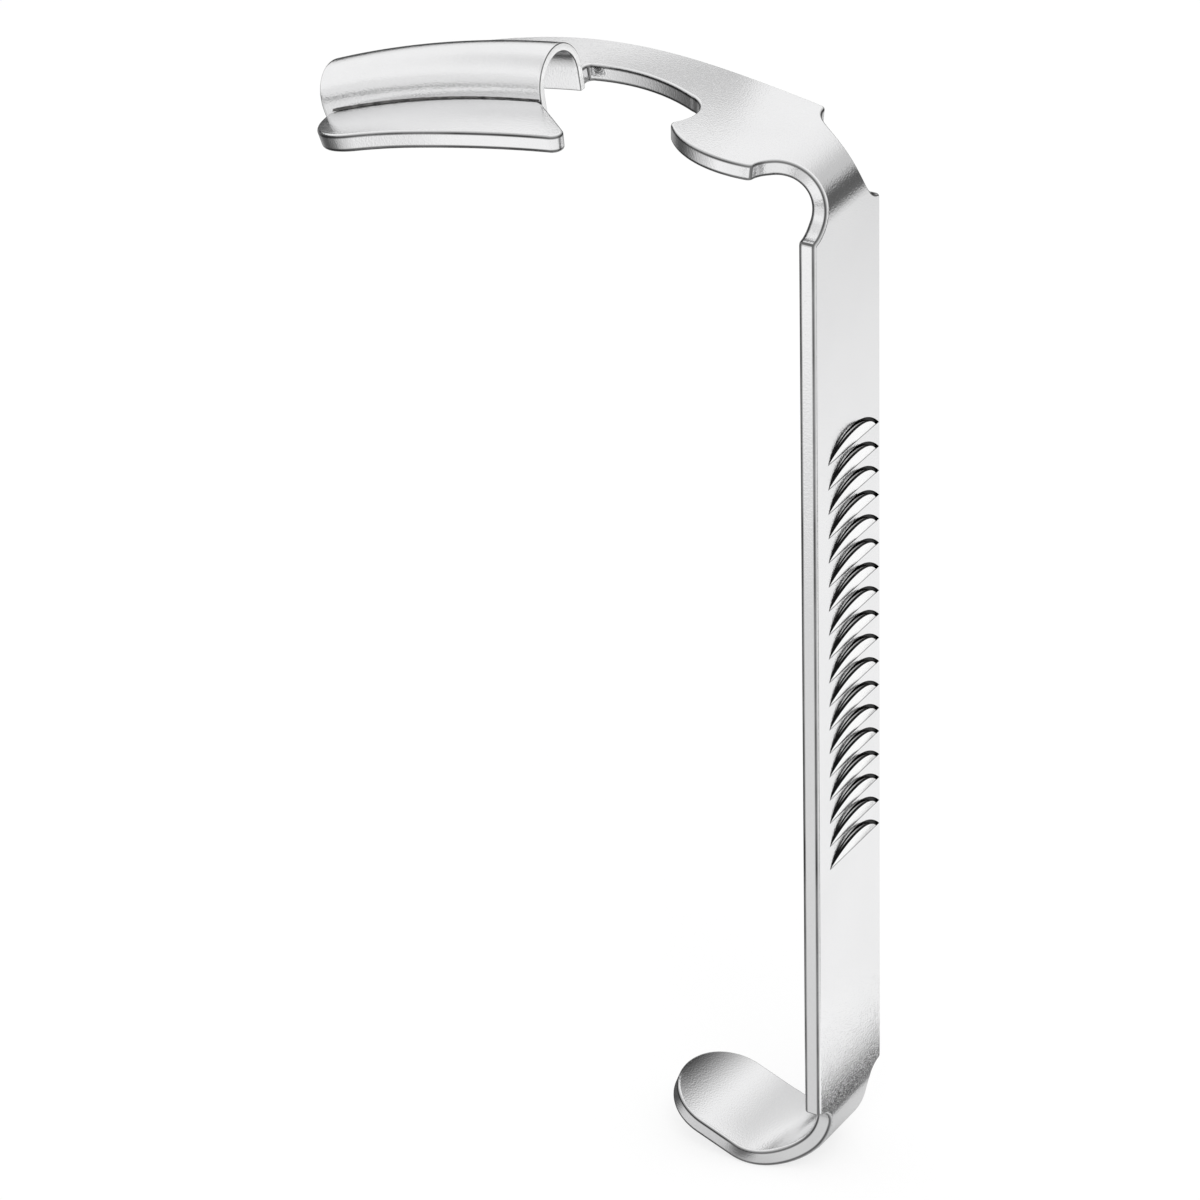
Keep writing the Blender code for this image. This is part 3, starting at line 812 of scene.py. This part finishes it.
def guide_tree(sizes):
    """Middle sheet of the trough: half round above the blade, with a straight leg on each side."""
    tree, given, result = start_tree("half_round_trough", sizes)
    grid, u, v = sheet_grid(tree, *GUIDE_GRID)
    run = calc(tree, 'MULTIPLY_ADD', u, given["Length"], given["Start"])
    lift = calc(tree, 'MULTIPLY_ADD', u, calc(tree, 'SUBTRACT', given["Lift Front"],
                                              given["Lift Rear"]), given["Lift Rear"])
    quarter = calc(tree, 'MULTIPLY', given["Radius"], math.pi / 2)
    whole = calc(tree, 'ADD', quarter, calc(tree, 'ADD', given["Leg"], lift))
    travel = calc(tree, 'MULTIPLY', calc(tree, 'ABSOLUTE', v), calc(tree, 'MULTIPLY', whole, 2.0))
    on_arc = calc(tree, 'DIVIDE', calc(tree, 'MINIMUM', travel, quarter), given["Radius"])
    down_leg = calc(tree, 'MAXIMUM', calc(tree, 'SUBTRACT', travel, quarter), 0.0)
    side = calc(tree, 'MULTIPLY', calc(tree, 'SIGN', v),
                calc(tree, 'MULTIPLY', given["Radius"], calc(tree, 'SINE', on_arc)))
    crown = calc(tree, 'MULTIPLY', given["Radius"], calc(tree, 'COSINE', on_arc))
    height = calc(tree, 'SUBTRACT', calc(tree, 'ADD', crown, lift), down_leg)
    across = calc(tree, 'ADD', side, given["Middle"])
    shaped = step(tree, "GeometryNodeSetPosition",
                  {"Geometry": grid.outputs["Mesh"], "Position": bowed(tree, run, across, height)})
    end_tree(tree, shaped.outputs[0], given, result)
    return tree


def thicken(piece, thickness_mm, rim_mm, offset=0.0):
    """Gives a sheet its wall and rounds its rims."""
    wall = piece.modifiers.new("wall", 'SOLIDIFY')
    wall.thickness = thickness_mm * MM
    wall.offset = offset
    wall.use_even_offset = True
    if rim_mm:
        rim = piece.modifiers.new("rim", 'BEVEL')
        rim.width = rim_mm * MM
        rim.segments = 3
        rim.limit_method = 'ANGLE'
        rim.angle_limit = RIM_TURN
    set_plainly(piece)
    bm = bmesh.new()
    bm.from_mesh(piece.data)
    bmesh.ops.recalc_face_normals(bm, faces=bm.faces[:])
    if bm.calc_volume(signed=True) < 0.0:
        bmesh.ops.reverse_faces(bm, faces=bm.faces[:])
    # Narrow faces of the rounded rims are marked for a line of painted shade. Other faces at the
    # trough's two ends are marked for a painted highlight.
    line = bm.verts.layers.float.new("arris")
    rim_highlight = bm.verts.layers.float.new("rim_highlight")
    for v in bm.verts:
        narrow = [min(e.calc_length() for e in f.edges) < rim_mm * RIM_NARROW * MM
                  for f in v.link_faces]
        v[line] = float(bool(rim_mm) and all(narrow))
        run = along_plate(v.co.x / MM, v.co.z / MM)[0]
        at_end = not MOUTH + END_MARGIN < run < GUIDE_TIP - END_MARGIN
        v[rim_highlight] = float(at_end and v[line] == 0.0)
    bm.to_mesh(piece.data)
    bm.free()
    return polish_faces(piece)


guide_sizes = {
    "Length": GUIDE_L * MM, "Start": (MOUTH - HEEL) * MM,
    "Radius": (GUIDE_BORE_R + GUIDE_WALL / 2) * MM, "Leg": PLATE_T * MM,
    "Lift Rear": GUIDE_LIFT_REAR * MM, "Lift Front": GUIDE_LIFT_FRONT * MM,
    "Middle": MID_Y * MM}


def paint_rim_highlight(mat):
    """The trough's end rims get a painted highlight: near white, and mostly not metal."""
    tree = mat.node_tree
    finish = tree.nodes["Principled BSDF"].inputs
    rim_highlight = carried(tree, "rim_highlight")
    satin = finish["Base Color"].links[0].from_socket
    feed(tree, finish["Base Color"], tint(tree, rim_highlight, satin, grey(END_RIM_HIGHLIGHT)))
    feed(tree, finish["Metallic"], ramp(tree, rim_highlight, 1.0, END_RIM_HIGHLIGHT_METAL, 0.0, 1.0))
    return mat


guide_steel = paint_rim_highlight(satin_steel("guide_satin_steel", SATIN_ROUGH, GUIDE_RELIEF))
guide = grow("tube_guide_trough", guide_tree(guide_sizes), guide_sizes, guide_steel)
thicken(guide, GUIDE_WALL, GUIDE_RIM_R)
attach(guide, "root")
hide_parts("tube_guide")


# ---- Side wing: the near half of the blade's front ------------------------------------------
# Cut from the same plate as the strip and bowed with it. The slot and the open window part it
# from the strip, so only the brazed guide holds it. Its rear end is cut on a slant and rounded.
WING_LEAD = 8.0
WING_REAR_R = 1.4
WING_REAR_BULGE = 0.9


def wing_outline():
    """Along the slot, round the slanted rear end and back along the blade's near side."""
    rear = MOUTH - WING_LEAD
    cx = rear + WING_REAR_R
    outer = []
    for t in spread(0.0, 1.0, 36):
        run = cx + (TIP - NOSE_R - cx) * t
        outer.append((run, -blade_half(run) - WING_REAR_BULGE * (1.0 - t) ** 2))
    cy = outer[0][1] + WING_REAR_R
    facing = math.atan2(-GROOVE - cy, MOUTH - cx)
    reach = math.hypot(MOUTH - cx, -GROOVE - cy)
    tangent = math.degrees(facing + math.acos(WING_REAR_R / reach))
    pts = [(TIP, -GROOVE), (MOUTH, -GROOVE)]
    pts += sweep(cx, cy, WING_REAR_R, WING_REAR_R, tangent, 270.0, 20) + outer[1:]
    return pts + sweep(TIP - NOSE_R, NOSE_R - BLADE_W / 2, NOSE_R, NOSE_R, 270.0, 360.0, 28)


wing_steel = satin_steel("wing_satin_steel")
wing = cut_and_bend("side_wing_plate", wing_outline())
wing.data.materials.append(wing_steel)
polish_faces(wing)
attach(wing, "root")
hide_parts("side_wing")


# ---- Braze seams: fillets along both feet of the guide --------------------------------------
# Silver brazing metal, run by capillary into the slot on each side of the guide. It leaves a
# small hollow fillet in the corner, a little uneven where it was wiped and then dressed.
SEAM_LEG_REAR = 0.12
SEAM_LEG_FRONT = 0.30
SEAM_END = 0.3
SEAM_SKIN = 0.10
SEAM_SEED = 7.0
SEAM_GRID = (160, 9)
SEAM_WAVE = 900.0
SEAM_UNEVEN = (0.5, 0.75)
SEAM_SUNK = 0.02
# Near-black colours of the braze: painted shade in the corner where guide and blade meet.
BRAZE_SHADE_DARK = 0.03
BRAZE_SHADE_LIGHT = (0.22, 0.215, 0.21, 1.0)
BRAZE_ROUGH = (0.26, 0.42)
BRAZE_RELIEF = 0.01
POOL_SCALE = 700.0


def seam_tree(sizes):
    """Hollow quarter round skin in the corner between blade and guide, a little uneven in size."""
    tree, given, result = start_tree("corner_fillet", sizes)
    grid, u, v = sheet_grid(tree, *SEAM_GRID)
    run = calc(tree, 'MULTIPLY_ADD', u, given["Length"], given["Start"])
    wave = step(tree, "ShaderNodeTexNoise", {
        "W": calc(tree, 'MULTIPLY_ADD', run, SEAM_WAVE, given["Seed"]), "Scale": 1.0,
        "Detail": 2.0},
        noise_dimensions='1D')
    uneven = calc(tree, 'MULTIPLY_ADD', wave.outputs[0], *SEAM_UNEVEN)
    leg = calc(tree, 'MULTIPLY_ADD', u, calc(tree, 'SUBTRACT', given["Leg Front"],
                                             given["Leg Rear"]), given["Leg Rear"])
    leg = calc(tree, 'MULTIPLY', leg, uneven)
    angle = calc(tree, 'MULTIPLY_ADD', calc(tree, 'ADD', v, 0.5), math.pi / 2, math.pi)
    out = calc(tree, 'MULTIPLY', leg, calc(tree, 'ADD', calc(tree, 'COSINE', angle), 1.0))
    up = calc(tree, 'MULTIPLY', leg, calc(tree, 'ADD', calc(tree, 'SINE', angle), 1.0))
    across = calc(tree, 'MULTIPLY_ADD', calc(tree, 'ADD', out, given["Foot"]), given["Side"],
                  given["Middle"])
    shaped = step(tree, "GeometryNodeSetPosition",
                  {"Geometry": grid.outputs["Mesh"], "Position": bowed(tree, run, across, up)})
    end_tree(tree, shaped.outputs[0], given, result)
    return tree


def braze_painted_shade_metal(name):
    """Silver brazing metal, a little warmer and duller than the steel beside it, its colour
    darkened nearly to black as painted shade in the corner by the guide.
    """
    mat, tree, finish = new_metal(name)
    pools = grain(tree, spot(tree), 1.0, POOL_SCALE, 3.0)
    share = ramp(tree, pools, 0.0, 1.0)
    feed(tree, finish["Base Color"], tint(tree, share, grey(BRAZE_SHADE_DARK), BRAZE_SHADE_LIGHT))
    feed(tree, finish["Roughness"], ramp(tree, pools, *BRAZE_ROUGH))
    bump = step(tree, "ShaderNodeBump", {"Distance": BRAZE_RELIEF * MM, "Height": pools})
    feed(tree, finish["Normal"], bump.outputs["Normal"])
    return mat


seam_sizes = {
    "Length": (TIP - MOUTH - 2 * SEAM_END) * MM, "Start": (MOUTH - HEEL + SEAM_END) * MM,
    "Leg Rear": SEAM_LEG_REAR * MM, "Leg Front": SEAM_LEG_FRONT * MM,
    "Foot": (GUIDE_R - SEAM_SUNK) * MM, "Side": 1.0, "Middle": MID_Y * MM, "Seed": SEAM_SEED}
fillet = seam_tree(seam_sizes)
braze = braze_painted_shade_metal("silver_braze_painted_shade")
for side, node in ((-1.0, "braze_seam_near"), (1.0, "braze_seam_far")):
    seam_sizes["Side"] = side
    seam_sizes["Seed"] = SEAM_SEED + side
    seam = grow(node + "_fillet", fillet, seam_sizes, braze)
    thicken(seam, SEAM_SKIN, 0.0, -side)
    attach(seam, "root")
    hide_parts(node)


# ---- Studio: white table, white room, three small dark cards, one lamp and the camera -------
# The part stands upright on a white table in a white tent. As a photographer of polished metal
# does, the table and the room are greyed for reflections alone, and small dark cards stand by
# the paddle and behind the blade. These greys draw the bends and the outlines of the steel.
TABLE_SIZE = 6.0
TABLE_WHITE = 0.95
TABLE_GLOW = 0.75
TABLE_BACK = (0.230, 0.54, 1.0, 0.15)
STRIP_X = 0.0467
STRIP = (0.0016, 0.0029)
FOOT_CLEAR = (0.030, 0.060)
FRONT_CLEAR = (0.19, 0.25)
NEAR_GREYS = ((-180, 0.06), (-166, 0.14), (-152, 0.42), (-136, 0.68), (-112, 0.68), (-100, 0.60),
              (-58, 0.80), (-12, 0.80), (6, 0.25), (22, 0.25), (40, 0.86), (88, 0.90), (104, 0.32),
              (150, 0.32), (170, 0.08), (180, 0.06))
FAR_GREYS = ((-180, 0.08), (-166, 0.18), (-152, 0.50), (-142, 0.64), (-134, 0.70), (-127, 0.90),
             (-100, 0.84), (-84, 0.85), (-58, 0.80), (-12, 0.80), (6, 0.5), (22, 0.5), (40, 0.76),
             (84, 0.78), (100, 0.32), (150, 0.32), (170, 0.10), (180, 0.08))
FAR_FADE = (0.60, 2.50, 1.0, 0.95)
FOOT_MIDDLE_X = 0.020
FOOT_HEADING = (0.52, -0.85)
FOOT_BEHIND = (-0.008, 0.002, 0.82, 0.0)
FOOT_LEFT = (0.026, 0.036, 1.0, 0.0)
FOOT_FRONT = (0.042, 0.050, 0.68, 1.0)
FOOT_LEVEL = 0.95
FOOT_SPOT = (0.0245, -0.0118)
FOOT_SPOT_R = (0.0014, 0.0042, 0.25, 1.0)
FLAG_LEAN = math.radians(-48.0)
FLAGS = (("paddle_tip_flag", (6.45, 6.62, 12.9), (14.0, 9.5), 8.0, 0.96),
         ("paddle_heel_flag", (26.0, 8.5, 8.6), (6.0, 9.5), 5.0, 0.24),
         ("far_band_flag", (-15.0, 41.0, 171.0), (20.0, 8.0), 6.0, 0.42))
LAMP_PLACE = Vector((0.45, -0.55, 1.1))
LAMP_AIM = Vector((0.0, 0.0, 0.08))
LAMP_SIZE = 0.6
LAMP_WATTS = 3.0
CAMERA_TURN = math.radians(31.21)
CAMERA_RISE = math.radians(29.70)
CAMERA_ROLL = math.radians(-1.385)
CAMERA_REACH = 0.8956
CAMERA_AIM = Vector((-0.00066, 0.00143, 0.07627))
CAMERA_LENS = 202.2
FILM_W = 36.0

# Each shade of the room: its level heading in degrees, how near to that heading it starts and is
# full, the rises at which it is full and has gone, and how dark it is.
ROOM_SHADES = ((48.0, 0.35, 0.90, 0.06, 0.24, 0.83), (48.0, 0.35, 0.90, 0.40, 0.70, 0.38),
               (-111.0, 0.91, 0.955, 0.36, 0.60, 0.10), (-133.0, 0.86, 0.93, 0.30, 0.62, 0.13),
               (-150.0, 0.35, 0.60, 0.85, 0.55, 0.25), (125.0, 0.80, 0.95, 0.0, 0.16, 0.95),
               (125.0, 0.80, 0.95, 0.10, 0.36, 0.15), (180.0, 0.30, 0.80, -0.02, 0.10, 0.9))


def soft_step(tree, value, low, high, out_low=0.0, out_high=1.0):
    """Smooth change from one level to another as the value passes from low to high."""
    return ramp(tree, value, out_low, out_high, low, high, 'SMOOTHSTEP')


def times(tree, *parts):
    """Product of two or more levels."""
    whole = parts[0]
    for part in parts[1:]:
        whole = calc(tree, 'MULTIPLY', whole, part)
    return whole


def reach_from(tree, x, y, middle=(0.0, 0.0)):
    """Distance on the table from a middle."""
    dx = calc(tree, 'ADD', x, -middle[0])
    dy = calc(tree, 'ADD', y, -middle[1])
    square = calc(tree, 'ADD', calc(tree, 'MULTIPLY', dx, dx), calc(tree, 'MULTIPLY', dy, dy))
    return calc(tree, 'POWER', square, 0.5)


def between(tree, share, low, high):
    """Level between two others."""
    return step(tree, "ShaderNodeMix", {"Factor": share, "A": low, "B": high}).outputs["Result"]


def round_the_handle(tree, turn, greys):
    """Grey by the angle round the handle's foot."""
    around = step(tree, "ShaderNodeValToRGB", {"Fac": turn})
    around.color_ramp.interpolation = 'EASE'
    stops = around.color_ramp.elements
    while len(stops) < len(greys):
        stops.new(0.5)
    for stop, (degrees, level) in zip(stops, greys):
        stop.position = (degrees + 180) / 360
        stop.color = grey(level)
    return around.outputs["Color"]


def foot_greys(tree, x, y):
    """Greys close round the hook: dark behind it, grey before the strip, and one small spot."""
    ahead = calc(tree, 'ADD', calc(tree, 'MULTIPLY', calc(tree, 'ADD', x, -FOOT_MIDDLE_X),
                                   FOOT_HEADING[0]), calc(tree, 'MULTIPLY', y, FOOT_HEADING[1]))
    behind = times(tree, soft_step(tree, ahead, *FOOT_BEHIND), soft_step(tree, x, *FOOT_LEFT))
    return times(tree, calc(tree, 'SUBTRACT', FOOT_LEVEL, behind), soft_step(tree, x, *FOOT_FRONT),
                 soft_step(tree, reach_from(tree, x, y, FOOT_SPOT), *FOOT_SPOT_R))


def table_greys(tree):
    """How bright each spot of the table is for reflections."""
    where = step(tree, "ShaderNodeSeparateXYZ", {0: spot(tree)}).outputs
    x = where["X"]
    y = where["Y"]
    past_face = calc(tree, 'ADD', x, -FACE_X * MM)
    turn = calc(tree, 'ADD', calc(tree, 'ARCTAN2', y, past_face), math.pi)
    turn = calc(tree, 'DIVIDE', turn, 2 * math.pi)
    reach = reach_from(tree, x, y, (FACE_X * MM, 0.0))
    out = between(tree, soft_step(tree, reach, *FRONT_CLEAR),
                  round_the_handle(tree, turn, NEAR_GREYS), round_the_handle(tree, turn, FAR_GREYS))
    level = between(tree, soft_step(tree, reach, *FOOT_CLEAR), foot_greys(tree, x, y), out)
    off_strip = calc(tree, 'ABSOLUTE', calc(tree, 'ADD', x, -STRIP_X))
    return times(tree, level, soft_step(tree, reach, *FAR_FADE), soft_step(tree, y, *TABLE_BACK),
                 soft_step(tree, off_strip, *STRIP))


def stage_sheet(name, half_x, half_y):
    """Flat sheet round the origin, and the empty tree of its material."""
    bm = bmesh.new()
    bmesh.ops.create_grid(bm, x_segments=1, y_segments=1, size=1.0)
    for v in bm.verts:
        v.co = (v.co.x * half_x, v.co.y * half_y, 0.0)
    mesh = bpy.data.meshes.new(name)
    bm.to_mesh(mesh)
    bm.free()
    sheet = bpy.data.objects.new(name, mesh)
    scene.collection.objects.link(sheet)
    mat = bpy.data.materials.new(name)
    mat.use_nodes = True
    mat.node_tree.nodes.clear()
    mesh.materials.append(mat)
    return sheet, mat.node_tree


def white_table():
    """Floor that keeps the part's shadow, and shows its greys to reflections alone."""
    table, tree = stage_sheet("table", TABLE_SIZE / 2, TABLE_SIZE / 2)
    ray = step(tree, "ShaderNodeLightPath").outputs
    lit = step(tree, "ShaderNodeBsdfDiffuse", {"Color": grey(TABLE_WHITE)}).outputs[0]
    glow = step(tree, "ShaderNodeEmission").outputs[0]
    kept = step(tree, "ShaderNodeMixShader", {0: TABLE_GLOW, 1: lit, 2: glow}).outputs[0]
    seen = step(tree, "ShaderNodeMixShader", {0: ray["Is Camera Ray"], 1: lit, 2: kept}).outputs[0]
    greyed = step(tree, "ShaderNodeBsdfDiffuse", {"Color": table_greys(tree)}).outputs[0]
    mirrored = step(tree, "ShaderNodeMixShader", {0: ray["Is Glossy Ray"], 1: seen, 2: greyed})
    step(tree, "ShaderNodeOutputMaterial", {"Surface": mirrored.outputs[0]})


def toward(tree, direction, heading, low, high):
    """Soft mask round one level heading, given in degrees."""
    a = math.radians(heading)
    along = step(tree, "ShaderNodeVectorMath", {0: direction, 1: (math.cos(a), math.sin(a), 0.0)},
                 operation='DOT_PRODUCT')
    return soft_step(tree, along.outputs["Value"], low, high)


def white_room():
    """White all round, shaded at a few headings for reflections alone."""
    world = bpy.data.worlds.new("room")
    world.use_nodes = True
    scene.world = world
    tree = world.node_tree
    back = tree.nodes["Background"].inputs
    direction = step(tree, "ShaderNodeTexCoord").outputs["Generated"]
    rise = step(tree, "ShaderNodeSeparateXYZ", {0: direction}).outputs["Z"]
    levels = []
    for heading, low, high, rise_full, rise_gone, dark in ROOM_SHADES:
        shade = times(tree, toward(tree, direction, heading, low, high),
                      soft_step(tree, rise, rise_full, rise_gone, dark, 0.0))
        levels.append(calc(tree, 'SUBTRACT', 1.0, shade))
    in_gloss = step(tree, "ShaderNodeLightPath").outputs["Is Glossy Ray"]
    feed(tree, back["Strength"], between(tree, in_gloss, 1.0, times(tree, *levels)))
    back["Color"].default_value = grey(1.0)


def grey_flag(name, centre, half, soft, darkness):
    """Small dark card with soft edges, seen in reflections alone."""
    card, tree = stage_sheet(name, *half)
    mesh = card.data
    uv = mesh.uv_layers.new(name="card").data
    for loop in mesh.loops:
        uv[loop.index].uv = mesh.vertices[loop.vertex_index].co.xy
    lean = Matrix.Rotation(FLAG_LEAN, 3, 'X')
    for v in mesh.vertices:
        v.co = (lean @ v.co + Vector(centre)) * MM
    place = step(tree, "ShaderNodeUVMap", uv_map="card").outputs["UV"]
    across = step(tree, "ShaderNodeSeparateXYZ", {0: place}).outputs
    sides = []
    for axis, reach in zip("XY", half):
        away = calc(tree, 'ABSOLUTE', across[axis])
        sides.append(soft_step(tree, away, reach - soft, reach, darkness, 0.0))
    clear = step(tree, "ShaderNodeBsdfTransparent").outputs[0]
    black = step(tree, "ShaderNodeEmission", {"Strength": 0.0}).outputs[0]
    blend = step(tree, "ShaderNodeMixShader", {0: calc(tree, 'MINIMUM', *sides), 1: clear, 2: black})
    step(tree, "ShaderNodeOutputMaterial", {"Surface": blend.outputs[0]})
    card.visible_camera = False
    card.visible_diffuse = False
    card.visible_shadow = False


def aimed(away):
    """Turn that points an object's back along a direction."""
    return away.to_track_quat('Z', 'Y').to_matrix()


def place_lamp():
    data = bpy.data.lights.new("key_lamp", 'AREA')
    data.shape = 'SQUARE'
    data.size = LAMP_SIZE
    data.energy = LAMP_WATTS
    lamp = bpy.data.objects.new("key_lamp", data)
    lamp.location = LAMP_PLACE
    lamp.rotation_euler = aimed(LAMP_PLACE - LAMP_AIM).to_euler()
    lamp.visible_glossy = False
    scene.collection.objects.link(lamp)


def place_camera():
    data = bpy.data.cameras.new("camera")
    data.lens = CAMERA_LENS
    data.sensor_width = FILM_W
    camera = bpy.data.objects.new("camera", data)
    back = Vector((math.sin(CAMERA_TURN) * math.cos(CAMERA_RISE),
                   -math.cos(CAMERA_TURN) * math.cos(CAMERA_RISE), math.sin(CAMERA_RISE)))
    camera.location = CAMERA_AIM + back * CAMERA_REACH
    camera.rotation_euler = (aimed(back) @ Matrix.Rotation(CAMERA_ROLL, 3, 'Z')).to_euler()
    scene.collection.objects.link(camera)
    scene.camera = camera


white_table()
white_room()
for flag in FLAGS:
    grey_flag(*flag)
place_lamp()
place_camera()
scene.view_settings.view_transform = 'Standard'
